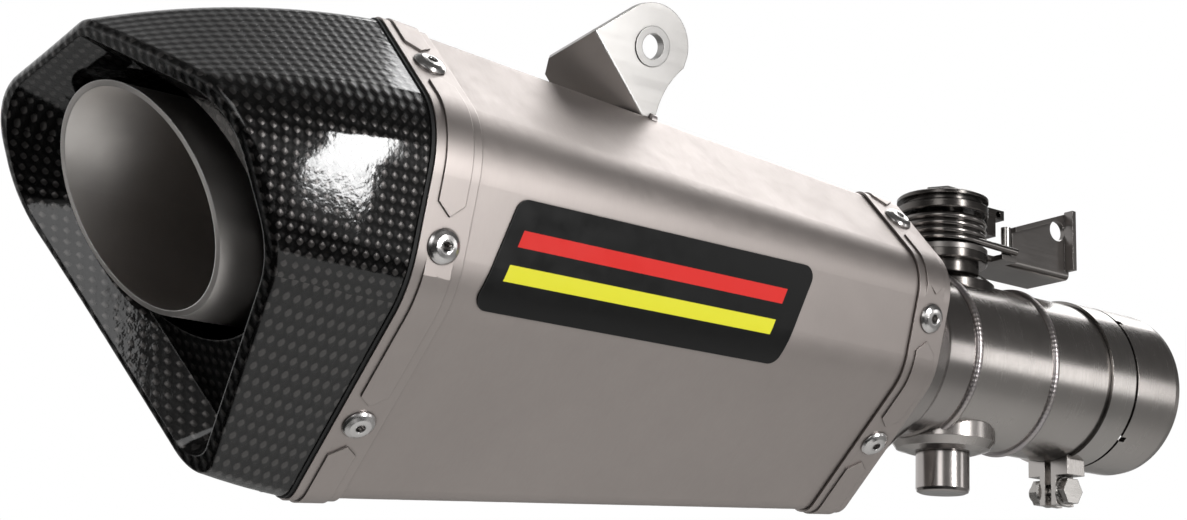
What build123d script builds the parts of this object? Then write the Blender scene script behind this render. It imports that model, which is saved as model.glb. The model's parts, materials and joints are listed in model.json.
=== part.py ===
from build123d import *
import math
import os

# Slip-on racing silencer with an exhaust valve.
# Frame: origin at the centre of the inlet socket's mouth, the pipe's axis along X with the
# outlet at -X, and the valve shaft along Z.  The hexagonal silencer body is rolled about X.
# Millimetres.

# ---------------------------------------------------------------- driving dimensions
BODY_ROLL = 15.0  # roll of the hexagonal body about the pipe axis, degrees

SLEEVE_OUTLET_X = -338.0
SLEEVE_INLET_X = -132.0
SLEEVE_SHEET = 1.2
SLIP = 0.05  # gap between parts that slide into one another

# hexagon at the sleeve's outlet end: apex, upper corner, lower corner, lower apex
HEX_TOP_Z = 66.0
HEX_HALF_WIDTH = 53.5
HEX_UPPER_Z = 36.0
HEX_LOWER_Z = -9.0
HEX_BOTTOM_Z = -83.0
HEX_RADII = (8.0, 24.0, 30.0, 10.0)
INLET_WIDTH_SCALE = 0.69
INLET_HEIGHT_SCALE = 0.775

STRAP_WIDTH = 15.0
STRAP_SHEET = 0.9
PAD_RISE = 0.6
PAD_WIDTH = 8.6
PAD_GAP = 8.0  # from a rivet to the tip of the embossed pad
PAD_TIP = 3.6  # length of the pad's pointed end

CAP_SHEET = 2.4
CAP_FACE = (-400.8, Vector(1.0, 0.41, 0.49))  # where it crosses the pipe axis, and its normal
TUBE_FACE = (-397.0, Vector(1.0, 0.38, 0.46))
CAP_STATIONS = ((-431.0, 0.86, 0.605), (-381.0, 0.99, 0.888))  # x, width scale, height scale
CAP_LIP_R = 2.0
DISH_RIM = 4.0
DISH_FLOOR_INSET = 13.0
DISH_DEPTH = 11.0
RECESS_R = 34.5
RECESS_DEPTH = 34.0
SEAL_WIDTH = 1.2

TUBE_R = 30.0
TUBE_WALL = 1.6
TUBE_END_X = -306.0
CORE_R = 28.35
CORE_WALL = 1.0
CORE_ENDS = (-315.0, -134.0)
PERFORATION_R = 2.25
PERFORATION_ROWS = 13
PERFORATIONS_ROUND = 12
OUTLET_BULKHEAD_X = -318.0
INLET_BULKHEAD_X = -152.5
BULKHEAD_SHEET = 1.5
BULKHEAD_SKIRT = 8.0

PIPE_R = 30.0
PIPE_BORE_R = 28.0
NECK_END = (-106.0, 0.0)  # weld plane: where it crosses the axis, yaw in degrees
HOUSING_END = (-64.0, 7.0)
INLET_CAP_SHEET = 1.5
CONE_LENGTH = 7.0
CONE_FLARE = 3.0  # how far the cone stands outside the neck where it ends
NECK_BLEND = 4.0  # length over which the flare closes onto the neck
BEAD_R = 1.6

SOCKET_R = 31.3
SOCKET_STEP_X = -25.0
SOCKET_BORE_R = 29.0
SOCKET_DEPTH = 46.0
SEAL_RING_WIDTH = 5.0
SEAL_RING_R = 29.4
SLIT_WIDTH = 2.2
CLAMP_X = -38.5
CLAMP_WIDTH = 12.3
CLAMP_SHEET = 1.2
EAR_X = -35.0
EAR_WIDTH = 9.2
EAR_T = 2.5
EAR_GAP = 3.0
EAR_BOTTOM_Z = -46.5
FOOT_Z = (-35.5, -25.0)
FOOT_REACH = 9.5
CLAMP_BOLT_R = 3.0
CLAMP_BOLT_Z = -41.2
CLAMP_HEX_R = 4.5
CLAMP_FLANGE_R = 5.5

SHAFT_X = -94.0
SHAFT_R = 4.0
SHAFT_FIT = 0.04
BUSH_R = 6.5
PLATE_R = 27.5
PLATE_T = 2.0
CUP_R = 9.5
CUP_BOTTOM_Z = -48.0
CUP_FLOOR = 3.0
BUSH_INNER_Z = 28.6
SADDLE_R = 18.5
SADDLE_BOTTOM_Z = -33.5
BOSS_R = 13.0
BOSS_FLANGE_R = 16.2
BOSS_TOP_Z = 38.8
UPPER_BUSH_TOP_Z = 39.8
WASHER_TOP_Z = 42.0
SPRING_R = 14.6
SPRING_WIRE_R = 1.35
SPRING_PITCH = 2.64
SPRING_TURNS = 3.5
SPRING_LEGS = (23.0, 7.0)  # lower, upper
SPRING_LIFT = 0.75  # leaves room under the coil for the lower leg, which slopes down
STOP_PIN_R = 1.8
STOP_PIN_X = SHAFT_X + 21.0
STOP_PIN_HEIGHT = 11.0
HUB_R = 7.5
PULLEY_R = 16.7
PULLEY_BASE_Z = 53.8
PULLEY_TOP_Z = 60.7
LUG_REACH = 27.0
TANG_R = (18.1, 22.5)
TANG_BOTTOM_Z = 50.0
NUT_TOP_Z = 64.2
PLATE_SCREW_Z = (-14.0, 14.0)

RIVET_HEAD_R = 5.0
RIVET_SHANK_R = 2.4
OUTLET_RIVET_STACK = SLEEVE_SHEET + SLIP + 2.0  # sleeve and the end cap's spigot
INLET_RIVET_STACK = SLEEVE_SHEET + SLIP + 1.5  # sleeve and the inlet cap's flange
OUTLET_RIVET_X = SLEEVE_OUTLET_X + STRAP_WIDTH / 2
INLET_RIVET_X = SLEEVE_INLET_X - STRAP_WIDTH / 2
# how far down the upper, middle and lower side of the hexagon each rivet sits
OUTLET_RIVET_SHARES = (0.45, 0.73, 0.55)
INLET_RIVET_SHARES = (0.34, 0.44, 0.42)

HANGER_SHEET = 2.5
HANGER_HEAD = (-243.5, 80.0)  # x and height of the eye
HANGER_HEAD_R = 14.0
HANGER_BORE_R = 6.0
HANGER_BUSH_BORE_R = 4.1
HANGER_BUSH_RIM = (0.5, 0.5)  # how far its rim reaches past the eye's bore, and its thickness
HANGER_FOLD = ((-265.0, 80.1), (-240.6, 57.0))  # x and height of the fold line's ends
HANGER_BEND = 45.0
HANGER_FOOT_Z = 55.0

BADGE_T = 0.5
BADGE_X = (-316.5, -194.0)
BADGE_Z = (-12.0, 20.5)
BADGE_LEAN = 8.0

BRACKET_SHEET = 2.0
BRACKET_Y = (-9.0, 12.0)  # near face of the wall, far edge of the floor
BRACKET_X = (-67.0, -36.5)  # ends of the wall
BRACKET_WALL_Z = (53.5, 65.0)  # height of the wall at each end
BRACKET_LIPS = (1.8, 4.0)  # reach of the top lip and of the end lip
BRACKET_HOLE = (-42.5, 57.0)
BRACKET_HOLE_R = 4.0
BRACKET_SCREW_R = 1.5
BRACKET_SCREWS = ((-7.4, 7.4), (7.4, 7.4), (0.0, -10.4))  # from the shaft


# ---------------------------------------------------------------- helpers
def rolled(shape):
    """Turn a piece drawn with the hexagon upright into the body's rolled position."""
    return Rot(BODY_ROLL, 0, 0) * shape


def across(x):
    """Plane across the pipe axis at x, with local x along Y and local y along Z."""
    return Plane(origin=(x, 0, 0), x_dir=(0, 1, 0), z_dir=(1, 0, 0))


def pipe(x, radius, length, bore=0.0):
    """Cylinder or ring about the pipe axis, from x towards +X."""
    profile = Circle(radius)
    if bore:
        profile -= Circle(bore)
    return extrude(across(x) * profile, length)


def upright(x, y, z, radius, height, bore=0.0):
    """Cylinder or ring about a vertical axis, from z upwards."""
    profile = Circle(radius)
    if bore:
        profile -= Circle(bore)
    return extrude(Pos(x, y, z) * profile, height)


def block(x, y, z):
    """Box between the two ends given for each axis."""
    size = [high - low for low, high in (x, y, z)]
    middle = [(high + low) / 2 for low, high in (x, y, z)]
    return Pos(*middle) * Box(*size)


def turned(points):
    """Solid of revolution about X from an (x, radius) outline."""
    return revolve(make_face(Plane.XZ * Polyline(*points, close=True)), Axis.X)


def turned_upright(points):
    """Solid of revolution about the valve shaft from a (radius, z) outline."""
    return Pos(SHAFT_X, 0, 0) * revolve(make_face(Plane.XZ * Polyline(*points, close=True)), Axis.Z)


def moved_out(points, distance):
    """Offset a closed polygon outwards, or inwards when distance is negative."""
    moved = []
    for index, point in enumerate(points):
        here = Vector(*point)
        into = (here - Vector(*points[index - 1])).normalized()
        out_of = (Vector(*points[(index + 1) % len(points)]) - here).normalized()
        normal = Vector(into.Y, -into.X)
        bisector = (normal + Vector(out_of.Y, -out_of.X)).normalized()
        corner = here + bisector * (distance / bisector.dot(normal))
        moved.append((corner.X, corner.Y))
    return moved


def mirrored_radii(change, scale=1.0):
    top, upper, lower, bottom = (max(radius * scale + change, 1.0) for radius in HEX_RADII)
    return [top, upper, lower, bottom, lower, upper]


def hex_corners(width_scale, height_scale):
    half = HEX_HALF_WIDTH * width_scale
    levels = (HEX_TOP_Z, HEX_UPPER_Z, HEX_LOWER_Z, HEX_BOTTOM_Z)
    top, upper, lower, bottom = (level * height_scale for level in levels)
    return [(0, top), (-half, upper), (-half, lower), (0, bottom), (half, lower), (half, upper)]


def sleeve_scales(x):
    """Width and height scale of the hexagon at station x."""
    share = (x - SLEEVE_OUTLET_X) / (SLEEVE_INLET_X - SLEEVE_OUTLET_X)
    return 1 + share * (INLET_WIDTH_SCALE - 1), 1 + share * (INLET_HEIGHT_SCALE - 1)


def hex_face(x, offset=0.0, scales=None):
    """Rounded hexagon across the pipe axis at station x, grown by offset."""
    width_scale, height_scale = scales or sleeve_scales(x)
    corners = moved_out(hex_corners(width_scale, height_scale), offset)
    radii = mirrored_radii(offset, width_scale)
    return make_face(across(x) * FilletPolyline(*corners, radius=radii, close=True))


def hex_solid(x1, x2, offset):
    return loft([hex_face(x1, offset), hex_face(x2, offset)], ruled=True)


def hex_ring(x1, x2, outer, inner):
    return hex_solid(x1, x2, outer) - hex_solid(x1, x2, inner)


def side_planes(x, offset, shares):
    """A plane on each of the six flat sides at station x, facing outwards."""
    here = moved_out(hex_corners(*sleeve_scales(x)), offset)
    ahead = moved_out(hex_corners(*sleeve_scales(x + 1)), offset)
    planes = []
    for index, share in enumerate((*shares, *(1 - share for share in reversed(shares)))):
        follow = (index + 1) % 6
        origin = side_point(x, here[index], here[follow], share)
        along = (side_point(x + 1, ahead[index], ahead[follow], share) - origin).normalized()
        edge = Vector(0, *here[follow]) - Vector(0, *here[index])
        planes.append(Plane(origin=origin, x_dir=along, z_dir=edge.cross(along)))
    return planes


def side_point(x, start, end, share):
    return Vector(x, *start) * (1 - share) + Vector(x, *end) * share


def rivet_bores(x, shares):
    drill = Circle(RIVET_SHANK_R + SLIP)
    return Compound([extrude(side * drill, 8, both=True) for side in side_planes(x, 0, shares)])


def outlet_bores():
    return rivet_bores(OUTLET_RIVET_X, OUTLET_RIVET_SHARES)


def inlet_bores():
    return rivet_bores(INLET_RIVET_X, INLET_RIVET_SHARES)


def slanted(face, depth=0.0):
    """Plane parallel to a slanted face, depth behind it."""
    x, direction = face
    normal = direction.normalized()
    sideways = Vector(0, 1, 0) - normal * normal.Y
    return Plane(origin=Vector(x, 0, 0) + normal * depth, x_dir=sideways, z_dir=normal)


def in_front_of(face, depth=0.0):
    """Everything on the outlet side of a plane parallel to a slanted face."""
    return extrude(slanted(face, depth) * Rectangle(400, 400), -200)


def welded_span(start, end):
    """Space between two weld planes, each given as (x, yaw)."""
    reach = 60.0
    outline = []
    for (x, yaw), side in ((start, -1), (end, -1), (end, 1), (start, 1)):
        outline.append((x + side * reach * math.tan(math.radians(yaw)), side * reach))
    return extrude(make_face(Polyline(*outline, close=True)), reach, both=True)


def weld_bead(place):
    x, yaw = place
    ring = Pos(x, 0, 0) * Rot(0, 0, -yaw) * Rot(0, 90, 0) * Torus(PIPE_R - 0.3, BEAD_R)
    return ring - pipe(x - 20, PIPE_R, 40)


def front_weld():
    """Bead round the neck, broken where the valve's saddles sit across it."""
    return weld_bead(NECK_END) - upright(SHAFT_X, 0, -60, SADDLE_R, 120)


# ---------------------------------------------------------------- silencer body
def outer_sleeve():
    shell = hex_ring(SLEEVE_OUTLET_X, SLEEVE_INLET_X, 0, -SLEEVE_SHEET)
    return shell - outlet_bores() - inlet_bores()


def strap(x, rivet_shares):
    """Band round the sleeve with long embossed pads that wrap each corner between rivets."""
    low = SLIP + STRAP_SHEET
    band = hex_ring(x, x + STRAP_WIDTH, low, SLIP)
    edge = (STRAP_WIDTH - PAD_WIDTH) / 2
    pads = hex_ring(x + edge, x + STRAP_WIDTH - edge, low + PAD_RISE, SLIP)
    half = PAD_WIDTH / 2 + 1
    shoulder = PAD_GAP + PAD_TIP * half / (PAD_WIDTH / 2)
    gap = [(-half, -shoulder), (0, -PAD_GAP), (half, -shoulder),
           (half, shoulder), (0, PAD_GAP), (-half, shoulder)]
    rivet_x = x + STRAP_WIDTH / 2
    for side in side_planes(rivet_x, low, rivet_shares):
        pads -= extrude(side * make_face(Polyline(*gap, close=True)), 4)
    return band + pads - rivet_bores(rivet_x, rivet_shares)


def rivets(x, shares, stack):
    """Six blind rivets; stack is the thickness they hold, measured inwards from the sleeve."""
    base = SLIP + STRAP_SHEET + 0.02
    solids = []
    for side in side_planes(x, 0, shares):
        profile = [
            (0.0, -stack - 3.0), (2.6, -stack - 2.6), (3.5, -stack - 1.2), (3.5, -stack - 0.02),
            (RIVET_SHANK_R, -stack - 0.02), (RIVET_SHANK_R, base), (RIVET_HEAD_R, base),
            (RIVET_HEAD_R, base + 0.5), (4.4, base + 1.2), (3.2, base + 1.9), (2.0, base + 2.1),
            (1.4, base + 1.9), (1.4, base - 0.6), (0.0, base - 0.6),
        ]
        body = revolve(make_face(Plane.XZ * Polyline(*profile, close=True)), Axis.Z)
        solids.append(side.location * body)
    return Compound(solids)


def cap_scales(x):
    """Width and height scale of the end cap at station x: a parabola through its stations."""
    stations = (*CAP_STATIONS, (SLEEVE_OUTLET_X, 1.0, 1.0))
    scales = [0.0, 0.0]
    for station, width, height in stations:
        weight = 1.0
        for other, _, _ in stations:
            if other != station:
                weight *= (x - other) / (station - other)
        scales[0] += weight * width
        scales[1] += weight * height
    return scales


def cap_loft(offset):
    front, middle = (station[0] for station in CAP_STATIONS)
    stations = (front, middle, SLEEVE_OUTLET_X - SEAL_WIDTH)
    return loft([hex_face(x, offset, cap_scales(x)) for x in stations])


def face_outline(depth, inset):
    """The cap's rounded hexagon where it pierces a plane parallel to the outlet face."""
    plane = slanted(CAP_FACE, depth)
    normal = plane.z_dir
    points = []
    for index in range(6):
        x = plane.origin.X
        for _ in range(30):
            y, z = hex_corners(*cap_scales(x))[index]
            rise = normal.Y * (y - plane.origin.Y) + normal.Z * (z - plane.origin.Z)
            x = plane.origin.X - rise / normal.X
        local = plane.to_local_coords(Vector(x, y, z))
        points.append((local.X, local.Y))
    corners = moved_out(points, -inset)
    return plane * make_face(FilletPolyline(*corners, radius=mirrored_radii(-inset / 2), close=True))


def carbon_end_cap():
    """Hollow moulding with a dished face, a round recess for the tube and a spigot in the sleeve."""
    body = cap_loft(0) - in_front_of(CAP_FACE)
    face = slanted(CAP_FACE)
    lip = [edge for edge in body.edges() if abs(face.to_local_coords(edge @ 0.5).Z) < 0.001]
    body = fillet(lip, CAP_LIP_R)
    dish = loft([face_outline(-1, DISH_RIM - 1), face_outline(DISH_DEPTH, DISH_FLOOR_INSET)], ruled=True)
    hollow = cap_loft(-CAP_SHEET) - in_front_of(CAP_FACE, DISH_DEPTH + CAP_SHEET)
    front = CAP_FACE[0] - 60
    hollow -= pipe(front, RECESS_R + CAP_SHEET, 60 + RECESS_DEPTH)
    body = body - hollow - dish - pipe(front, RECESS_R, 60 + RECESS_DEPTH + 20)
    outer = -SLEEVE_SHEET - SLIP
    shoulder_x = SLEEVE_OUTLET_X - SEAL_WIDTH
    spigot = hex_ring(shoulder_x - 6, SLEEVE_OUTLET_X + STRAP_WIDTH - 1, outer, outer - 2.0)
    return body + spigot - outlet_bores()


def end_cap_seal():
    return hex_ring(SLEEVE_OUTLET_X - SEAL_WIDTH, SLEEVE_OUTLET_X, 0.35, -SLEEVE_SHEET)


def outlet_tube():
    start = TUBE_FACE[0] - 50
    return pipe(start, TUBE_R, TUBE_END_X - start, TUBE_R - TUBE_WALL) - in_front_of(TUBE_FACE)


def bulkhead(x, hole_r):
    """Plate across the sleeve with a skirt round its edge and a collar round its hole."""
    outer = -SLEEVE_SHEET - SLIP
    dish = hex_solid(x + BULKHEAD_SHEET, x + BULKHEAD_SKIRT + 1, outer - BULKHEAD_SHEET)
    dish -= pipe(x, hole_r + BULKHEAD_SHEET, BULKHEAD_SKIRT + 2)
    return hex_solid(x, x + BULKHEAD_SKIRT, outer) - dish - pipe(x - 1, hole_r, BULKHEAD_SKIRT + 2)


def perforated_core():
    start, end = CORE_ENDS
    core = pipe(start, CORE_R, end - start, CORE_R - CORE_WALL)
    first = TUBE_END_X + 10
    pitch = (INLET_BULKHEAD_X - 10 - first) / (PERFORATION_ROWS - 1)
    holes = []
    for row in range(PERFORATION_ROWS):
        for step in range(PERFORATIONS_ROUND // 2):
            angle = (step + 0.5 * (row % 2)) * 360 / PERFORATIONS_ROUND
            drill = Rot(angle, 0, 0) * Cylinder(PERFORATION_R, 4 * CORE_R)
            holes.append(Pos(first + row * pitch, 0, 0) * drill)
    return core - Compound(holes)


def glass_packing():
    x1 = OUTLET_BULKHEAD_X + BULKHEAD_SKIRT + 1
    x2 = INLET_BULKHEAD_X - 1
    inner_r = TUBE_R + 0.5
    return hex_solid(x1, x2, -SLEEVE_SHEET - 1.5) - pipe(x1 - 5, inner_r, x2 - x1 + 10)


def inlet_end_cap():
    """Pressed cap: flange inside the sleeve, cone down to the round neck."""
    outer = -SLEEVE_SHEET - SLIP
    flange_x = SLEEVE_INLET_X - STRAP_WIDTH
    cone_x = SLEEVE_INLET_X + 1.5

    def form(offset, radius, back):
        start = cone_x - back
        middle = start + CONE_LENGTH
        end = middle + NECK_BLEND
        flared = ring_face(middle, radius + CONE_FLARE)
        cone = loft([hex_face(start, offset), flared], ruled=True)
        blend = loft([flared, ring_face(end, radius)], ruled=True)
        return hex_solid(flange_x, start, offset) + cone + blend + pipe(end, radius, 30)

    shell = form(outer, PIPE_R, 0) - form(outer - INLET_CAP_SHEET, PIPE_BORE_R, INLET_CAP_SHEET)
    return shell & welded_span((flange_x - 20, 0), NECK_END) - inlet_bores()


def ring_face(x, radius):
    """Circle across the axis whose seam is at the top, to line up with the hexagon's start."""
    return Plane(origin=(x, 0, 0), x_dir=(0, 0, 1), z_dir=(1, 0, 0)) * make_face(Circle(radius).edge())


def side_badge():
    """Thin plate that follows the near side, cut to a leaning parallelogram."""
    x1, x2 = BADGE_X
    z1, z2 = BADGE_Z
    lean = BADGE_LEAN
    outline = [(x1, z1), (x2 - lean, z1), (x2, z2), (x1 + lean, z2)]
    shape = make_face(Plane.XZ * FilletPolyline(*outline, radius=4, close=True))
    skin = hex_ring(x1 - 3, x2 + 3, SLIP + BADGE_T, SLIP)
    return skin & extrude(shape, 80)


def hanger_bracket():
    """Bent sheet: an upright eye plate, and a flange folded away along a slanted line."""
    half = HANGER_SHEET / 2
    head_x, head_z = HANGER_HEAD
    fold_top = Vector(HANGER_FOLD[0][0], 0, HANGER_FOLD[0][1])
    fold_foot = Vector(HANGER_FOLD[1][0], 0, HANGER_FOLD[1][1])
    along = (fold_foot - fold_top).normalized()
    tangent = HANGER_HEAD_R * Vector(-0.66, 0, 0.75)
    eye = [
        (fold_top.X, fold_top.Z),
        (head_x + tangent.X, head_z + tangent.Z),
        (head_x, head_z + HANGER_HEAD_R),
    ]
    outline = (
        Line(eye[0], eye[1])
        + ThreePointArc(eye[1], eye[2], (head_x + HANGER_HEAD_R, head_z))
        + Line((head_x + HANGER_HEAD_R, head_z), (head_x + HANGER_HEAD_R - 0.6, head_z - 4))
        + ThreePointArc(
            (head_x + HANGER_HEAD_R - 0.6, head_z - 4),
            (head_x + HANGER_HEAD_R - 5.5, head_z - 11.5),
            (head_x + HANGER_HEAD_R - 7.5, HANGER_FOOT_Z),
        )
        + Line((head_x + HANGER_HEAD_R - 7.5, HANGER_FOOT_Z), (fold_foot.X, fold_foot.Z))
        + Line((fold_foot.X, fold_foot.Z), eye[0])
    )
    plate = extrude(make_face(Plane.XZ * outline), half, both=True)
    plate -= Plane.XZ * Pos(head_x, head_z) * extrude(Circle(HANGER_BORE_R), 10, both=True)
    bend = math.radians(HANGER_BEND)
    leftward = Vector(along.Z, 0, -along.X)
    outward = leftward * math.cos(bend) + Vector(0, 1, 0) * math.sin(bend)
    fold_plane = Plane(origin=fold_top, x_dir=along, z_dir=along.cross(outward))
    flange_outline = [(0, 0), (1.8, 17.3), (6.0, 21.0), (26.0, 21.0), (34.0, 0)]
    flange = extrude(fold_plane * make_face(Polyline(*flange_outline, close=True)), half, both=True)
    bend_core = Plane(origin=fold_top, z_dir=along) * extrude(Circle(half), (fold_foot - fold_top).length)
    return plate + flange + bend_core - hex_solid(SLEEVE_OUTLET_X, SLEEVE_INLET_X, SLIP)


def hanger_bush():
    """Bush pressed into the eye, with a thin rim on each side."""
    reach, thickness = HANGER_BUSH_RIM
    half = HANGER_SHEET / 2
    eye = Plane.XZ * Pos(*HANGER_HEAD)
    bush = eye * extrude(Circle(HANGER_BORE_R), half, both=True)
    for side in (half, -half - thickness):
        bush += eye * Pos(0, 0, side) * extrude(Circle(HANGER_BORE_R + reach), thickness)
    return bush - eye * extrude(Circle(HANGER_BUSH_BORE_R), HANGER_SHEET, both=True)


def hanger_weld():
    """Fillet beads along both faces of the eye plate's foot on the sleeve."""
    foot = (HANGER_FOLD[1][0] + 1, HANGER_HEAD[0] + HANGER_HEAD_R - 8)
    start, end = (Vector(x, HANGER_SHEET / 2, ridge_height(x) - 0.6) for x in foot)
    bead = extrude(Plane(origin=start, z_dir=end - start) * Circle(2.0), (end - start).length)
    weld = bead + mirror(bead, Plane.XZ)
    return weld - hex_solid(SLEEVE_OUTLET_X, SLEEVE_INLET_X, SLIP) - hanger_bracket()


def ridge_height(x):
    """Height of the rounded upper ridge above the pipe axis."""
    width_scale, height_scale = sleeve_scales(x)
    slope = math.atan2(
        (HEX_TOP_Z - HEX_UPPER_Z) * height_scale, HEX_HALF_WIDTH * width_scale
    )
    return HEX_TOP_Z * height_scale - HEX_RADII[0] * width_scale * (1 / math.cos(slope) - 1)


# ---------------------------------------------------------------- inlet pipe and clamp
def valve_housing():
    tube = pipe(NECK_END[0] - 20, PIPE_R, HOUSING_END[0] - NECK_END[0] + 40, PIPE_BORE_R)
    tube &= welded_span(NECK_END, HOUSING_END)
    return tube - upright(SHAFT_X, 0, -50, BUSH_R, 100)


def inlet_socket():
    """Socket for the link pipe: slit under the clamp, with a groove for the seal ring at its end."""
    lip = 4.0
    seal_x = SEAL_RING_WIDTH - SOCKET_DEPTH
    outline = [
        (HOUSING_END[0] - 15, PIPE_BORE_R), (HOUSING_END[0] - 15, PIPE_R), (SOCKET_STEP_X, PIPE_R),
        (SOCKET_STEP_X, SOCKET_R), (-lip, SOCKET_R), (-lip / 3, SOCKET_R - 0.6), (0, SOCKET_R - 1.6),
        (0, SOCKET_BORE_R), (seal_x, SOCKET_BORE_R), (seal_x, SEAL_RING_R + SLIP),
        (-SOCKET_DEPTH, SEAL_RING_R + SLIP), (-SOCKET_DEPTH, PIPE_BORE_R),
    ]
    socket = turned(outline) & welded_span(HOUSING_END, (20, 0))
    slit = block((CLAMP_X + 2, SOCKET_STEP_X + 2.5), (-SLIT_WIDTH / 2, SLIT_WIDTH / 2), (0, 40))
    for quarter in range(4):
        socket -= Rot(45 + 90 * quarter, 0, 0) * slit
    return socket


def socket_seal_ring():
    return pipe(-SOCKET_DEPTH, SEAL_RING_R, SEAL_RING_WIDTH, PIPE_BORE_R)


def clamp_band():
    """Strap round the slit end of the socket, with a foot and an ear on each side of its gap."""
    inner = PIPE_R + SLIP
    ends = (EAR_X - EAR_WIDTH / 2, EAR_X + EAR_WIDTH / 2)
    band = pipe(CLAMP_X, inner + CLAMP_SHEET, CLAMP_WIDTH, inner)
    band -= block((CLAMP_X - 1, CLAMP_X + CLAMP_WIDTH + 1), (-EAR_GAP / 2, EAR_GAP / 2), (-2 * inner, 0))
    ear = block(ends, (EAR_GAP / 2, EAR_GAP / 2 + EAR_T), (EAR_BOTTOM_Z, FOOT_Z[1]))
    foot = block(ends, (EAR_GAP / 2, FOOT_REACH), FOOT_Z)
    lug = ear + foot - pipe(CLAMP_X - 10, inner, CLAMP_WIDTH + 20)
    bore = Pos(EAR_X, 0, CLAMP_BOLT_Z) * Rot(90, 0, 0) * Cylinder(CLAMP_BOLT_R + 0.2, 30)
    return band + lug + mirror(lug, Plane.XZ) - bore


def hexagon_part(facing, flange_height, height):
    """Hexagon with a round flange under it, standing on the facing plane."""
    hexagon = extrude(facing * RegularPolygon(CLAMP_HEX_R, 6, major_radius=False), height)
    return hexagon + extrude(facing * Circle(CLAMP_FLANGE_R), flange_height)


def clamp_bolt():
    """Hexagon screw through both ears, head on the near side."""
    seat = EAR_GAP / 2 + EAR_T
    facing = Plane(origin=(EAR_X, -seat, CLAMP_BOLT_Z), x_dir=(1, 0, 0), z_dir=(0, -1, 0))
    return hexagon_part(facing, 1.0, 4.0) + extrude(facing * Circle(CLAMP_BOLT_R), -2 * seat - 7)


def clamp_nut():
    facing = Plane(origin=(EAR_X, EAR_GAP / 2 + EAR_T, CLAMP_BOLT_Z), x_dir=(1, 0, 0), z_dir=(0, 1, 0))
    return hexagon_part(facing, 1.0, 5.0) - extrude(facing * Circle(CLAMP_BOLT_R), 10)


# ---------------------------------------------------------------- exhaust valve
def lower_saddle():
    """Domed reinforcing dish welded under the pipe, with the bush's bore through it."""
    profile = [
        (BUSH_R, 0), (BUSH_R, SADDLE_BOTTOM_Z), (SADDLE_R - 6, SADDLE_BOTTOM_Z),
        (SADDLE_R - 2, SADDLE_BOTTOM_Z + 1.2), (SADDLE_R, SADDLE_BOTTOM_Z + 4), (SADDLE_R, 0),
    ]
    return turned_upright(profile) - pipe(SHAFT_X - 50, PIPE_R, 100)


def lower_bearing_cup():
    floor_z = CUP_BOTTOM_Z + CUP_FLOOR
    profile = [
        (0, CUP_BOTTOM_Z), (CUP_R - 1.5, CUP_BOTTOM_Z), (CUP_R - 0.4, CUP_BOTTOM_Z + 0.5),
        (CUP_R, CUP_BOTTOM_Z + 1.6), (CUP_R, SADDLE_BOTTOM_Z), (BUSH_R, SADDLE_BOTTOM_Z),
        (BUSH_R, floor_z), (0, floor_z),
    ]
    return turned_upright(profile)


def upper_bearing_boss():
    """Turned boss on a saddle: a waist, then a flange that carries the cable bracket."""
    flange_z = BOSS_TOP_Z - 3.5
    profile = [
        (BUSH_R, 0), (BUSH_R, BOSS_TOP_Z), (BOSS_FLANGE_R, BOSS_TOP_Z), (BOSS_FLANGE_R, flange_z + 0.5),
        (BOSS_FLANGE_R - 0.5, flange_z), (BOSS_R, flange_z), (BOSS_R, 31.0), (SADDLE_R - 3, 30.0),
        (SADDLE_R, 27.5), (SADDLE_R, 0),
    ]
    boss = turned_upright(profile) - pipe(SHAFT_X - 50, PIPE_R, 100)
    for x, y in BRACKET_SCREWS:
        boss -= upright(SHAFT_X + x, y, BOSS_TOP_Z - 6, BRACKET_SCREW_R, 10)
    return boss


def bush(z1, z2):
    return upright(SHAFT_X, 0, z1, BUSH_R, z2 - z1, SHAFT_R + SHAFT_FIT)


def valve_shaft():
    shaft = upright(SHAFT_X, 0, CUP_BOTTOM_Z + 3.4, SHAFT_R, NUT_TOP_Z + 0.4 - CUP_BOTTOM_Z - 3.4)
    half_slot = PLATE_T / 2
    shaft -= block((SHAFT_X - 6, SHAFT_X + 6), (-half_slot, half_slot), (-PLATE_R, PLATE_R))
    for z in PLATE_SCREW_Z:
        across_shaft = Pos(SHAFT_X, 0, z) * Rot(90, 0, 0)
        shaft -= across_shaft * Cylinder(1.5, 20)
        shaft -= Pos(SHAFT_X, -5, z) * Rot(90, 0, 0) * Cylinder(2.8, 4)
    return shaft


def butterfly_plate():
    plate = Plane.XZ * Pos(SHAFT_X, 0) * extrude(Circle(PLATE_R), PLATE_T / 2, both=True)
    for z in PLATE_SCREW_Z:
        plate -= Pos(SHAFT_X, 0, z) * Rot(90, 0, 0) * Cylinder(1.5, 20)
    return plate


def plate_screws():
    screws = []
    for z in PLATE_SCREW_Z:
        shank = Pos(SHAFT_X, 0.4, z) * Rot(90, 0, 0) * Cylinder(1.5, 6.8)
        head = Pos(SHAFT_X, -3.9, z) * Rot(90, 0, 0) * Cylinder(2.7, 1.8)
        slot = block((SHAFT_X - 3, SHAFT_X + 3), (-5.0, -4.1), (z - 0.35, z + 0.35))
        screws.append(shank + head - slot)
    return Compound(screws)


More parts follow.
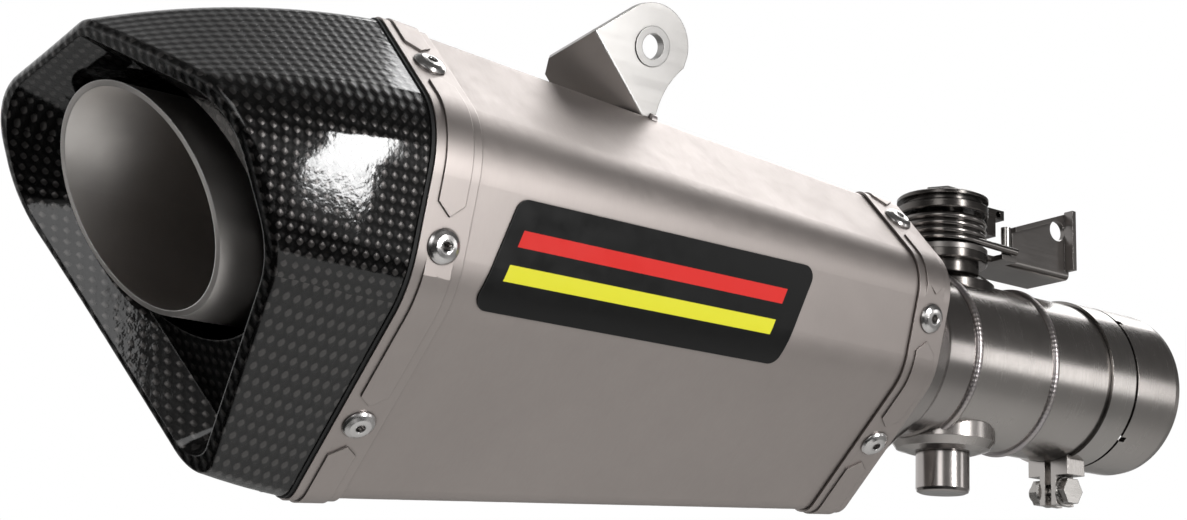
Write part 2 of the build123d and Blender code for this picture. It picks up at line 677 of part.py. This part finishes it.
def cable_pulley():
    """Drum over the spring with a cable groove near its top and a lug toward the inlet."""
    low, high = PULLEY_TOP_Z - 3.6, PULLEY_TOP_Z - 1.6
    groove_r = PULLEY_R - 2.2
    recess_r = PULLEY_R - 1.4
    recess_z = PULLEY_BASE_Z + 1.5
    profile = [
        (SHAFT_R, WASHER_TOP_Z), (HUB_R, WASHER_TOP_Z), (HUB_R, recess_z), (recess_r, recess_z),
        (recess_r, PULLEY_BASE_Z), (PULLEY_R - 0.4, PULLEY_BASE_Z), (PULLEY_R, PULLEY_BASE_Z + 0.4),
        (PULLEY_R, low - 0.4), (PULLEY_R - 0.4, low), (groove_r, low), (groove_r, high), (PULLEY_R, high),
        (PULLEY_R, PULLEY_TOP_Z - 0.5), (PULLEY_R - 0.5, PULLEY_TOP_Z), (SHAFT_R, PULLEY_TOP_Z),
    ]
    lug = block((SHAFT_X + groove_r - 2, SHAFT_X + LUG_REACH), (-5, 2), (low, PULLEY_TOP_Z))
    tang = block((SHAFT_X + TANG_R[0], SHAFT_X + TANG_R[1]), (-5, 2), (TANG_BOTTOM_Z, low))
    eye = Pos(SHAFT_X + LUG_REACH - 3, 0, low + 1.8) * Rot(90, 0, 0) * Cylinder(1.2, 20)
    return turned_upright(profile) + lug + tang - eye


def thrust_washer():
    return upright(SHAFT_X, 0, UPPER_BUSH_TOP_Z + 0.05, 7.5, WASHER_TOP_Z - UPPER_BUSH_TOP_Z - 0.05, SHAFT_R)


def pulley_washer():
    return upright(SHAFT_X, 0, PULLEY_TOP_Z, 7.0, 1.0, SHAFT_R)


def pulley_nut():
    hexagon = Pos(SHAFT_X, 0, PULLEY_TOP_Z + 1) * RegularPolygon(6.5, 6, major_radius=False)
    return extrude(hexagon, NUT_TOP_Z - PULLEY_TOP_Z - 1) - upright(SHAFT_X, 0, 0, SHAFT_R, 200)


def return_spring():
    """Left-hand torsion coil with a straight leg at each end, both pointing to the inlet."""
    start_z = BOSS_TOP_Z + BRACKET_SHEET + SPRING_WIRE_R + SPRING_LIFT
    coil = Helix(SPRING_PITCH, SPRING_PITCH * SPRING_TURNS, SPRING_R, lefthand=True)
    coil = Pos(SHAFT_X, 0, start_z) * Rot(0, 0, -90) * coil
    lower_end = coil @ 0 - (coil % 0) * SPRING_LEGS[0]
    upper_end = coil @ 1 + (coil % 1) * SPRING_LEGS[1]
    lower_leg = Edge.make_line(lower_end, coil @ 0)
    upper_leg = Edge.make_line(coil @ 1, upper_end)
    path = Wire([lower_leg, coil.edge(), upper_leg])
    return sweep(Plane(origin=lower_end, z_dir=coil % 0) * Circle(SPRING_WIRE_R), path=path)


def spring_stop_pin():
    """Post on the bracket's floor; the spring's lower leg bears on its outer side."""
    y = STOP_PIN_R + SPRING_WIRE_R - SPRING_R
    return upright(STOP_PIN_X, y, BOSS_TOP_Z + BRACKET_SHEET, STOP_PIN_R, STOP_PIN_HEIGHT)


def cable_bracket():
    """Floor under the spring, bent up into a wall that carries the cable's outer end."""
    z1 = BOSS_TOP_Z
    z2 = z1 + BRACKET_SHEET
    near, far = BRACKET_Y
    left, right = BRACKET_X
    left_z, right_z = BRACKET_WALL_Z
    hole_x, hole_z = BRACKET_HOLE
    lip_x = hole_x - BRACKET_HOLE_R - 1
    lip_z = left_z + (right_z - left_z) * (lip_x - left) / (right - left)
    lip = [(left, left_z - BRACKET_SHEET), (lip_x, lip_z - BRACKET_SHEET), (lip_x, lip_z), (left, left_z)]
    bracket = upright(SHAFT_X, 0, z1, BOSS_FLANGE_R, BRACKET_SHEET)
    bracket += block((SHAFT_X, right), (near, far), (z1, z2))
    wall = [(left, z1), (right, z1), (right, right_z), (left, left_z)]
    bracket += sheet_across_y(wall, near, BRACKET_SHEET)
    below = bracket.edges().filter_by(Axis.X).group_by(Axis.Y)[0].group_by(Axis.Z)[0]
    bracket = fillet(below, BRACKET_SHEET - 0.1)
    bracket += sheet_across_y(lip, near - BRACKET_LIPS[0], BRACKET_LIPS[0])
    bracket += block((right - BRACKET_SHEET, right), (near - BRACKET_LIPS[1], near), (z2 + 1, right_z))
    bracket += block((STOP_PIN_X - 4, STOP_PIN_X + 3.5), (near - 4.5, near + 3), (z1, z2))
    bracket -= Pos(hole_x, near, hole_z) * Rot(90, 0, 0) * Cylinder(BRACKET_HOLE_R, 9)
    bracket -= upright(SHAFT_X, 0, 0, BUSH_R + 2, 100)
    for x, y in BRACKET_SCREWS:
        bracket -= upright(SHAFT_X + x, y, 0, BRACKET_SCREW_R + 0.1, 100)
    return bracket


def sheet_across_y(outline, y, thickness):
    """Flat sheet from y towards +Y; its (x, z) outline runs along the foot first, towards the inlet."""
    return Pos(0, y, 0) * extrude(make_face(Plane.XZ * Polyline(*outline, close=True)), -thickness)


def bracket_screws():
    screws = []
    for x, y in BRACKET_SCREWS:
        shank = upright(SHAFT_X + x, y, BOSS_TOP_Z - 5.5, BRACKET_SCREW_R, 5.5 + BRACKET_SHEET)
        head = upright(SHAFT_X + x, y, BOSS_TOP_Z + BRACKET_SHEET, 2.6, 1.1)
        screws.append(shank + head)
    return Compound(screws)


# ---------------------------------------------------------------- pieces
BODY_PIECES = {
    "outer_sleeve": outer_sleeve(),
    "outlet_strap": strap(SLEEVE_OUTLET_X, OUTLET_RIVET_SHARES),
    "inlet_strap": strap(SLEEVE_INLET_X - STRAP_WIDTH, INLET_RIVET_SHARES),
    "outlet_rivets": rivets(OUTLET_RIVET_X, OUTLET_RIVET_SHARES, OUTLET_RIVET_STACK),
    "inlet_rivets": rivets(INLET_RIVET_X, INLET_RIVET_SHARES, INLET_RIVET_STACK),
    "carbon_end_cap": carbon_end_cap(),
    "end_cap_seal": end_cap_seal(),
    "outlet_tube": outlet_tube(),
    "outlet_bulkhead": bulkhead(OUTLET_BULKHEAD_X, TUBE_R),
    "perforated_core": perforated_core(),
    "glass_packing": glass_packing(),
    "inlet_bulkhead": bulkhead(INLET_BULKHEAD_X, CORE_R),
    "inlet_end_cap": inlet_end_cap(),
    "side_badge": side_badge(),
    "hanger_bracket": hanger_bracket(),
    "hanger_bush": hanger_bush(),
    "hanger_weld": hanger_weld(),
}
PIPE_PIECES = {
    "valve_housing": valve_housing(),
    "front_weld": front_weld(),
    "rear_weld": weld_bead(HOUSING_END),
    "inlet_socket": inlet_socket(),
    "socket_seal_ring": socket_seal_ring(),
    "clamp_band": clamp_band(),
    "clamp_bolt": clamp_bolt(),
    "clamp_nut": clamp_nut(),
    "lower_saddle": lower_saddle(),
    "lower_bearing_cup": lower_bearing_cup(),
    "upper_bearing_boss": upper_bearing_boss(),
    "lower_bush": bush(CUP_BOTTOM_Z + CUP_FLOOR, -BUSH_INNER_Z),
    "upper_bush": bush(BUSH_INNER_Z, UPPER_BUSH_TOP_Z),
    "valve_shaft": valve_shaft(),
    "butterfly_plate": butterfly_plate(),
    "plate_screws": plate_screws(),
    "cable_pulley": cable_pulley(),
    "thrust_washer": thrust_washer(),
    "pulley_washer": pulley_washer(),
    "pulley_nut": pulley_nut(),
    "return_spring": return_spring(),
    "spring_stop_pin": spring_stop_pin(),
    "cable_bracket": cable_bracket(),
    "bracket_screws": bracket_screws(),
}

os.makedirs("parts", exist_ok=True)
for name, piece in {**{name: rolled(piece) for name, piece in BODY_PIECES.items()}, **PIPE_PIECES}.items():
    piece.label = name
    export_step(piece, f"parts/{name}.step")
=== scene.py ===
import json
import math

import bpy
from mathutils import Matrix, Vector


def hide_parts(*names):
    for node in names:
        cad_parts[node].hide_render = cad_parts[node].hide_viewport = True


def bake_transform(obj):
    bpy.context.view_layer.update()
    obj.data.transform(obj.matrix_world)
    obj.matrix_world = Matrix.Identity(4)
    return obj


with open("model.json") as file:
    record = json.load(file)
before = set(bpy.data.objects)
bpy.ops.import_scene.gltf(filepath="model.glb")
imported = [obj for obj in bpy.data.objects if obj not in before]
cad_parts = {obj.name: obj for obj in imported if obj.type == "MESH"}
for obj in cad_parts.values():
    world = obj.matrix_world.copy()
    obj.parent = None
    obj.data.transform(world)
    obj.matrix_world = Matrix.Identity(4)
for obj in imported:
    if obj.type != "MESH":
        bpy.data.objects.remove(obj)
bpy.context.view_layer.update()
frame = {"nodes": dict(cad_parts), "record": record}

# ---------------------------------------------------------------- driving values, in metres
CAMERA_PLACE = (-0.5532, -0.4634, -0.1303)
CAMERA_RIGHT = (0.82704, -0.56013, 0.04758)
CAMERA_UP = (-0.17576, -0.17726, 0.96834)
CAMERA_LENS = 54.6
FLOOR_Z = -0.62
BODY_ROLL = math.radians(15)  # roll of the hexagonal body about the pipe axis
WEAVE_PITCH = 0.0031
BADGE_STRIPE = (-0.3085, -0.2075)  # where the badge's stripes start and end, along the body

SATIN = (0.44, 0.395, 0.375)


# ---------------------------------------------------------------- node helpers
def new_material(name):
    """A material with a Principled shader; returns it with its tree and shader."""
    material = bpy.data.materials.new(name)
    material.use_nodes = True
    tree = material.node_tree
    return material, tree, tree.nodes["Principled BSDF"]


def node(tree, kind, **values):
    """A node with its properties set."""
    made = tree.nodes.new(kind)
    for key, value in values.items():
        setattr(made, key, value)
    return made


def feed(tree, socket, value):
    """Link a socket or set a plain value."""
    if isinstance(value, bpy.types.NodeSocket):
        tree.links.new(value, socket)
    else:
        socket.default_value = value


def calc(tree, operation, first, second=0.0, third=0.0, clamp=False):
    made = node(tree, "ShaderNodeMath", operation=operation, use_clamp=clamp)
    for socket, value in zip(made.inputs, (first, second, third)):
        feed(tree, socket, value)
    return made.outputs[0]


def position(tree):
    """Where the shaded point is in the part's own frame."""
    return node(tree, "ShaderNodeTexCoord").outputs["Object"]


def split(tree, vector):
    made = node(tree, "ShaderNodeSeparateXYZ")
    feed(tree, made.inputs[0], vector)
    return made.outputs


def body_axes(tree):
    """Along the pipe, and across and up the rolled hexagonal body."""
    x, y, z = split(tree, position(tree))[:3]
    cos, sin = math.cos(BODY_ROLL), math.sin(BODY_ROLL)
    across = calc(tree, "MULTIPLY_ADD", y, cos, calc(tree, "MULTIPLY", z, sin))
    height = calc(tree, "MULTIPLY_ADD", z, cos, calc(tree, "MULTIPLY", y, -sin))
    return x, across, height


def noise(tree, vector, scale, detail=4.0, rough=0.55):
    made = node(tree, "ShaderNodeTexNoise")
    feed(tree, made.inputs["Vector"], vector)
    made.inputs["Scale"].default_value = scale
    made.inputs["Detail"].default_value = detail
    made.inputs["Roughness"].default_value = rough
    return made.outputs["Fac"]


def between(tree, value, low, high, start, end):
    """Straight-line map of value from low..high to start..end, held at the ends."""
    made = node(tree, "ShaderNodeMapRange", clamp=True)
    for socket, number in zip(made.inputs, (value, low, high, start, end)):
        feed(tree, socket, number)
    return made.outputs["Result"]


def mix_colour(tree, share, first, second):
    made = node(tree, "ShaderNodeMix", data_type="RGBA")
    feed(tree, made.inputs["Factor"], share)
    for socket, value in ((made.inputs[6], first), (made.inputs[7], second)):
        feed(tree, socket, (*value, 1.0) if isinstance(value, tuple) else value)
    return made.outputs[2]


def bump(tree, shader, height, strength, distance, normal=None):
    made = node(tree, "ShaderNodeBump")
    made.inputs["Strength"].default_value = strength
    made.inputs["Distance"].default_value = distance
    feed(tree, made.inputs["Height"], height)
    if normal is not None:
        feed(tree, made.inputs["Normal"], normal)
    feed(tree, shader.inputs["Normal"], made.outputs[0])
    return made.outputs[0]


def soft_edges(tree, radius):
    """Normals rounded over sharp edges, so that every edge catches the light."""
    made = node(tree, "ShaderNodeBevel", samples=4)
    made.inputs["Radius"].default_value = radius
    return made.outputs[0]


def crevice_shade(tree, reach):
    """Mask for painted shade: 1 in the open, falling towards 0 in narrow gaps and inner corners."""
    made = node(tree, "ShaderNodeAmbientOcclusion", samples=6, only_local=False)
    made.inputs["Distance"].default_value = reach
    return between(tree, made.outputs["AO"], 0.25, 0.85, 0.0, 1.0)


def edge_wear(tree, radius):
    """Near 1 on convex edges and 0 on flat faces."""
    rounded = soft_edges(tree, radius)
    geometry = node(tree, "ShaderNodeNewGeometry")
    dot = node(tree, "ShaderNodeVectorMath", operation="DOT_PRODUCT")
    feed(tree, dot.inputs[0], rounded)
    feed(tree, dot.inputs[1], geometry.outputs["Normal"])
    return between(tree, dot.outputs["Value"], 0.97, 0.80, 0.0, 1.0)


# ---------------------------------------------------------------- materials
def metal(name, colour, rough, grain=(40, 900, 900), variation=0.08, wear=0.35, grain_depth=0.00002,
          edge=0.0004, stretch=0.0):
    """Metal with stretched grain, slow colour and roughness changes, brighter worn edges, and painted shade
    in gaps and inner corners.

    stretch draws the highlights out along the pipe, as brushing round it does.
    """
    material, tree, shader = new_material(name)
    place = position(tree)
    stretched = node(tree, "ShaderNodeVectorMath", operation="MULTIPLY")
    feed(tree, stretched.inputs[0], place)
    stretched.inputs[1].default_value = grain
    fine = noise(tree, stretched.outputs[0], 1.0, 3.0)
    slow = noise(tree, place, 22.0, 5.0, 0.6)
    smudge = noise(tree, place, 90.0, 6.0, 0.65)
    darker = tuple(channel * (1 - 2 * variation) for channel in colour)
    tone = mix_colour(tree, between(tree, slow, 0.3, 0.7, 0.0, 1.0), darker, colour)
    bright = tuple(min(1.0, channel * 1.5) for channel in colour)
    worn = calc(tree, "MULTIPLY", edge_wear(tree, edge), wear)
    unshaded = mix_colour(tree, worn, tone, bright)
    # painted shade: the colour falls to a quarter of itself in gaps and inner corners, where ambient
    # occlusion finds shade
    crevice_shade_colour = tuple(channel * 0.25 for channel in colour)
    feed(tree, shader.inputs["Base Color"], mix_colour(tree, crevice_shade(tree, 0.0018), crevice_shade_colour, unshaded))
    shader.inputs["Metallic"].default_value = 1.0
    if stretch:
        shader.inputs["Anisotropic"].default_value = stretch
        around = node(tree, "ShaderNodeTangent", direction_type="RADIAL", axis="X")
        feed(tree, shader.inputs["Tangent"], around.outputs[0])
    wander = calc(tree, "MULTIPLY_ADD", calc(tree, "ADD", fine, smudge), 0.12, rough - 0.12)
    feed(tree, shader.inputs["Roughness"], wander)
    bump(tree, shader, fine, 0.25, grain_depth, soft_edges(tree, edge))
    return material


def carbon(name):
    """Clear-coated carbon fibre: a plain weave laid at 45 degrees, so its crossings sit on a square grid."""
    material, tree, shader = new_material(name)
    x, across, height = body_axes(tree)
    geometry = node(tree, "ShaderNodeNewGeometry")
    nx, ny, nz = split(tree, geometry.outputs["Normal"])[:3]
    on_side = calc(tree, "GREATER_THAN", calc(tree, "ABSOLUTE", ny), calc(tree, "ABSOLUTE", nz))
    on_face = calc(tree, "LESS_THAN", nx, -0.62)
    girth = mix_number(tree, on_side, across, height)
    u = mix_number(tree, on_face, calc(tree, "MULTIPLY_ADD", girth, 0.12, x), across)
    v = mix_number(tree, on_face, girth, height)
    drift = noise(tree, position(tree), 30.0, 2.0)
    u = calc(tree, "MULTIPLY_ADD", drift, 0.0012, u)
    turns = 2 * math.pi / WEAVE_PITCH
    wave_u = calc(tree, "COSINE", calc(tree, "MULTIPLY", u, turns))
    wave_v = calc(tree, "COSINE", calc(tree, "MULTIPLY", v, turns))
    weave = calc(tree, "SUBTRACT", wave_v, wave_u)
    warp = between(tree, weave, 0.35, 1.15, 0.0, 1.0)
    weft = between(tree, weave, -0.5, -1.4, 0.0, 1.0)
    strands = noise(tree, position(tree), 5200.0, 2.0)
    lit = calc(tree, "MULTIPLY", warp, between(tree, strands, 0.3, 0.7, 0.75, 1.0))
    tone = mix_colour(tree, lit, (0.0014, 0.0013, 0.0013), (0.070, 0.065, 0.063))
    tone = mix_colour(tree, calc(tree, "MULTIPLY", weft, 0.4), tone, (0.009, 0.008, 0.008))
    feed(tree, shader.inputs["Base Color"], tone)
    shader.inputs["Metallic"].default_value = 0.9
    feed(tree, shader.inputs["Roughness"], between(tree, weave, -1.0, 1.0, 0.45, 0.36))
    shader.inputs["Coat Weight"].default_value = 1.0
    haze = noise(tree, position(tree), 60.0)
    feed(tree, shader.inputs["Coat Roughness"], between(tree, haze, 0.3, 0.8, 0.03, 0.10))
    peel = noise(tree, position(tree), 420.0, 2.0)
    coat = node(tree, "ShaderNodeBump")
    coat.inputs["Strength"].default_value = 0.05
    coat.inputs["Distance"].default_value = 0.0005
    feed(tree, coat.inputs["Height"], peel)
    feed(tree, coat.inputs["Normal"], soft_edges(tree, 0.0006))
    feed(tree, shader.inputs["Coat Normal"], coat.outputs[0])
    bump(tree, shader, weave, 0.5, 0.0002, soft_edges(tree, 0.0006))
    return material


def mix_number(tree, share, first, second):
    made = node(tree, "ShaderNodeMix", data_type="FLOAT")
    feed(tree, made.inputs["Factor"], share)
    feed(tree, made.inputs[2], first)
    feed(tree, made.inputs[3], second)
    return made.outputs[0]


def badge(name):
    """Gloss black film with two plain stripes along its whole length, and a slightly worn edge."""
    material, tree, shader = new_material(name)
    place = position(tree)
    x, _, height = body_axes(tree)
    lean = calc(tree, "MULTIPLY_ADD", height, -0.25, x)
    upper = patch(tree, lean, BADGE_STRIPE, height, (0.0070, 0.0120))
    lower = patch(tree, lean, BADGE_STRIPE, height, (-0.0030, 0.0020))
    tone = mix_colour(tree, upper, (0.005, 0.005, 0.005), (0.70, 0.03, 0.025))
    tone = mix_colour(tree, lower, tone, (0.76, 0.73, 0.04))
    worn = calc(tree, "MULTIPLY", edge_wear(tree, 0.0003), 0.25)
    feed(tree, shader.inputs["Base Color"], mix_colour(tree, worn, tone, (0.3, 0.3, 0.3)))
    feed(tree, shader.inputs["Roughness"], between(tree, noise(tree, place, 160.0), 0.3, 0.7, 0.28, 0.42))
    shader.inputs["Specular IOR Level"].default_value = 0.25
    bump(tree, shader, noise(tree, place, 900.0), 0.05, 0.0001, soft_edges(tree, 0.0003))
    return material


def window(tree, value, low, high):
    """1 where value lies between low and high, with edges softened over a fraction of a millimetre."""
    soft = 0.0002
    rise = between(tree, value, low, low + soft, 0.0, 1.0)
    fall = between(tree, value, high, high - soft, 0.0, 1.0)
    return calc(tree, "MULTIPLY", rise, fall)


def patch(tree, along, span, height, rise):
    """1 inside a leaning rectangle given by its span along and its rise."""
    return calc(tree, "MULTIPLY", window(tree, along, *span), window(tree, height, *rise))


def weld(name):
    """Rippled bead: fine waves, straw and blue tints where it cooled."""
    material, tree, shader = new_material(name)
    place = position(tree)
    x, y, z = split(tree, place)[:3]
    angle = calc(tree, "ARCTAN2", y, z)
    waves = calc(tree, "SINE", calc(tree, "MULTIPLY_ADD", noise(tree, place, 300.0), 3.0,
                                    calc(tree, "MULTIPLY", angle, 110.0)))
    tint = mix_colour(tree, noise(tree, place, 120.0), (0.50, 0.45, 0.40), (0.40, 0.38, 0.42))
    feed(tree, shader.inputs["Base Color"], tint)
    shader.inputs["Metallic"].default_value = 1.0
    feed(tree, shader.inputs["Roughness"], between(tree, waves, -1.0, 1.0, 0.42, 0.30))
    bump(tree, shader, waves, 0.25, 0.00012)
    return material


def rubber(name, colour, rough):
    """Matt black part with a fine moulded grain."""
    material, tree, shader = new_material(name)
    place = position(tree)
    tone = mix_colour(tree, noise(tree, place, 200.0), colour, tuple(2 * channel for channel in colour))
    feed(tree, shader.inputs["Base Color"], tone)
    mottle = noise(tree, place, 500.0)
    feed(tree, shader.inputs["Roughness"], between(tree, mottle, 0.3, 0.7, rough, rough + 0.12))
    bump(tree, shader, noise(tree, place, 1500.0), 0.3, 0.0001)
    return material


def wool(name):
    """Matted glass fibre."""
    material, tree, shader = new_material(name)
    place = position(tree)
    strands = noise(tree, place, 700.0, 8.0, 0.8)
    feed(tree, shader.inputs["Base Color"], mix_colour(tree, strands, (0.45, 0.42, 0.30), (0.85, 0.82, 0.70)))
    shader.inputs["Roughness"].default_value = 0.95
    bump(tree, shader, strands, 1.0, 0.001)
    return material


def make_materials():
    turned = (3200, 60, 60)  # grain running round the pipe
    upright = (60, 60, 2600)  # grain running round the valve shaft
    fine = 0.000006
    return {
        "satin_titanium": metal("satin_titanium", SATIN, 0.48, (1500, 260, 260), 0.03, 0.2, fine),
        "strap_titanium": metal("strap_titanium", SATIN, 0.44, (1500, 260, 260), 0.03, 0.4, fine),
        "rivet_steel": metal("rivet_steel", (0.70, 0.68, 0.67), 0.24, variation=0.05),
        "carbon_fibre": carbon("carbon_fibre"),
        "black_seal": rubber("black_seal", (0.006, 0.006, 0.006), 0.6),
        "brushed_tube": metal("brushed_tube", (0.86, 0.82, 0.79), 0.40, turned, 0.08, 0.8, fine, stretch=0.8),
        "inner_steel": metal("inner_steel", (0.35, 0.33, 0.31), 0.42, variation=0.12),
        "glass_wool": wool("glass_wool"),
        "polished_steel": metal("polished_steel", (0.40, 0.372, 0.358), 0.22, turned, 0.05, 0.3, fine),
        "badge_film": badge("badge_film"),
        "bracket_steel": metal("bracket_steel", (0.24, 0.225, 0.215), 0.32, variation=0.08),
        # painted light: the hanger's own copy of steel, its tone set for the front lamp's reflection on its
        # plate
        "hanger_lamp_toned_steel": metal("hanger_lamp_toned_steel", (0.52, 0.505, 0.49), 0.34, variation=0.10),
        "bush_metal": metal("bush_metal", (0.42, 0.41, 0.40), 0.34, variation=0.08),
        "weld_bead": weld("weld_bead"),
        "pipe_steel": metal("pipe_steel", (0.48, 0.45, 0.43), 0.25, turned, 0.05, 0.3, fine),
        "graphite_seal": rubber("graphite_seal", (0.03, 0.03, 0.03), 0.5),
        "clamp_steel": metal("clamp_steel", (0.48, 0.455, 0.435), 0.25, turned, 0.05, 0.3, fine),
        "fastener_steel": metal("fastener_steel", (0.50, 0.48, 0.46), 0.26, variation=0.06),
        "dark_steel": metal("dark_steel", (0.13, 0.12, 0.113), 0.24, upright, 0.12, 0.5, 0.00001),
        "bronze_bush": metal("bronze_bush", (0.45, 0.30, 0.14), 0.4, variation=0.1),
        "spring_wire": metal("spring_wire", (0.22, 0.205, 0.195), 0.22, upright, 0.08, 0.3, 0.00001),
    }


def paint(materials):
    """Give every CAD node the material of its slot in the record; the hanger gets its own copy of steel, its
    tone set for the lamp's reflection on its plate (painted light).
    """
    slots = {entry["node"]: entry["material_slot"] for entry in frame["record"]["subparts"]}
    slots["hanger_bracket"] = "hanger_lamp_toned_steel"
    for name, obj in frame["nodes"].items():
        obj.data.materials.clear()
        obj.data.materials.append(materials[slots[name]])


# ---------------------------------------------------------------- extra pieces
def coil_spring(materials):
    """The return spring again, as a copy of its mesh in the spring wire material; the CAD spring is hidden.
    """
    source = frame["nodes"]["return_spring"]
    coil = source.copy()
    coil.data = source.data.copy()
    coil.name = "return_spring_coil"
    coil.parent = None
    bpy.context.collection.objects.link(coil)
    coil.data.materials.clear()
    coil.data.materials.append(materials["spring_wire"])
    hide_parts("return_spring")
    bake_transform(coil)
    return coil


# ---------------------------------------------------------------- studio
def camera():
    data = bpy.data.cameras.new("camera")
    data.lens = CAMERA_LENS
    data.sensor_width = 36.0
    data.clip_start = 0.01
    obj = bpy.data.objects.new("camera", data)
    bpy.context.collection.objects.link(obj)
    right = Vector(CAMERA_RIGHT).normalized()
    back = right.cross(Vector(CAMERA_UP)).normalized()
    up = back.cross(right)
    obj.matrix_world = Matrix((
        (right.x, up.x, back.x, CAMERA_PLACE[0]),
        (right.y, up.y, back.y, CAMERA_PLACE[1]),
        (right.z, up.z, back.z, CAMERA_PLACE[2]),
        (0, 0, 0, 1),
    ))
    bpy.context.scene.camera = obj


def softbox(name, place, target, size, power):
    """Rectangular lamp at place, facing target."""
    data = bpy.data.lights.new(name, "AREA")
    data.shape = "RECTANGLE"
    data.size, data.size_y = size
    data.energy = power
    obj = bpy.data.objects.new(name, data)
    bpy.context.collection.objects.link(obj)
    facing = (Vector(place) - Vector(target)).to_track_quat("Z", "Y")
    obj.matrix_world = Matrix.Translation(place) @ facing.to_matrix().to_4x4()


def backdrop():
    """White to the camera; to everything else a room that is darker overhead and in front."""
    world = bpy.data.worlds.new("studio")
    bpy.context.scene.world = world
    world.use_nodes = True
    tree = world.node_tree
    shown = tree.nodes["Background"]
    shown.inputs["Color"].default_value = (1, 1, 1, 1)
    lighting = node(tree, "ShaderNodeBackground")
    direction = node(tree, "ShaderNodeTexCoord").outputs["Generated"]
    x, y, z = split(tree, direction)[:3]
    height = node(tree, "ShaderNodeValToRGB")
    feed(tree, height.inputs["Fac"], between(tree, z, -1.0, 1.0, 0.0, 1.0))
    stops = ((0.0, 0.45), (0.40, 0.40), (0.50, 0.40), (0.62, 0.10), (0.90, 0.07), (1.0, 0.10))
    ramp = height.color_ramp
    while len(ramp.elements) < len(stops):
        ramp.elements.new(0.5)
    for element, (place, level) in zip(ramp.elements, stops):
        element.position = place
        element.color = (level, level * 0.985, level * 0.97, 1)
    away = between(tree, y, 0.15, 0.75, 0.0, 1.0)
    low = between(tree, z, 0.65, 0.95, 1.0, 0.15)
    behind = calc(tree, "MULTIPLY", away, low)
    tone = mix_colour(tree, behind, height.outputs["Color"], (0.95, 0.95, 0.95))
    feed(tree, lighting.inputs["Color"], tone)
    ray = node(tree, "ShaderNodeLightPath")
    choice = node(tree, "ShaderNodeMixShader")
    feed(tree, choice.inputs[0], ray.outputs["Is Camera Ray"])
    feed(tree, choice.inputs[1], lighting.outputs[0])
    feed(tree, choice.inputs[2], shown.outputs[0])
    feed(tree, tree.nodes["World Output"].inputs["Surface"], choice.outputs[0])


def floor():
    """Pale matt floor well under the part."""
    bpy.ops.mesh.primitive_plane_add(size=14, location=(0, 0, FLOOR_Z))
    plane = bpy.context.object
    plane.name = "floor"
    material, tree, shader = new_material("floor")
    grain = noise(tree, position(tree), 300.0)
    feed(tree, shader.inputs["Base Color"], mix_colour(tree, grain, (0.80, 0.80, 0.79), (0.84, 0.84, 0.83)))
    shader.inputs["Roughness"].default_value = 0.9
    plane.data.materials.append(material)


def dark_cloths():
    """Black cloths that only reflections see, in front of the part and past its outlet."""
    black = rubber("dark_cloth", (0.01, 0.01, 0.01), 0.9)
    cloths = (("cloth_front", (-1.15, -2.2), (3.0, 3.2)), ("cloth_left", (-2.3, 0.35), (3.6, 2.0)))
    for name, place, size in cloths:
        bpy.ops.mesh.primitive_plane_add(size=1, location=(*place, FLOOR_Z + 0.01))
        cloth = bpy.context.object
        cloth.name = name
        cloth.scale = (*size, 1.0)
        cloth.visible_camera = False
        cloth.visible_diffuse = False
        cloth.visible_shadow = False
        cloth.data.materials.append(black)


def lamps():
    cap = (-0.36, -0.055, 0.01)
    inlet = (-0.08, -0.03, 0.0)
    body = (-0.2, 0.0, 0.0)
    softbox("lamp_front", (0.0, -0.98, 0.085), cap, (0.15, 0.60), 7.0)
    softbox("lamp_right", (0.74, -0.80, 0.03), inlet, (0.22, 0.34), 0.55)
    softbox("lamp_left", (-1.3, -0.85, 0.25), body, (0.5, 0.7), 2.5)
    softbox("lamp_top", (0.45, 0.38, 0.84), body, (0.70, 0.80), 6.0)


materials = make_materials()
paint(materials)
coil_spring(materials)
camera()
backdrop()
floor()
dark_cloths()
lamps()
bpy.context.scene.view_settings.view_transform = "Standard"
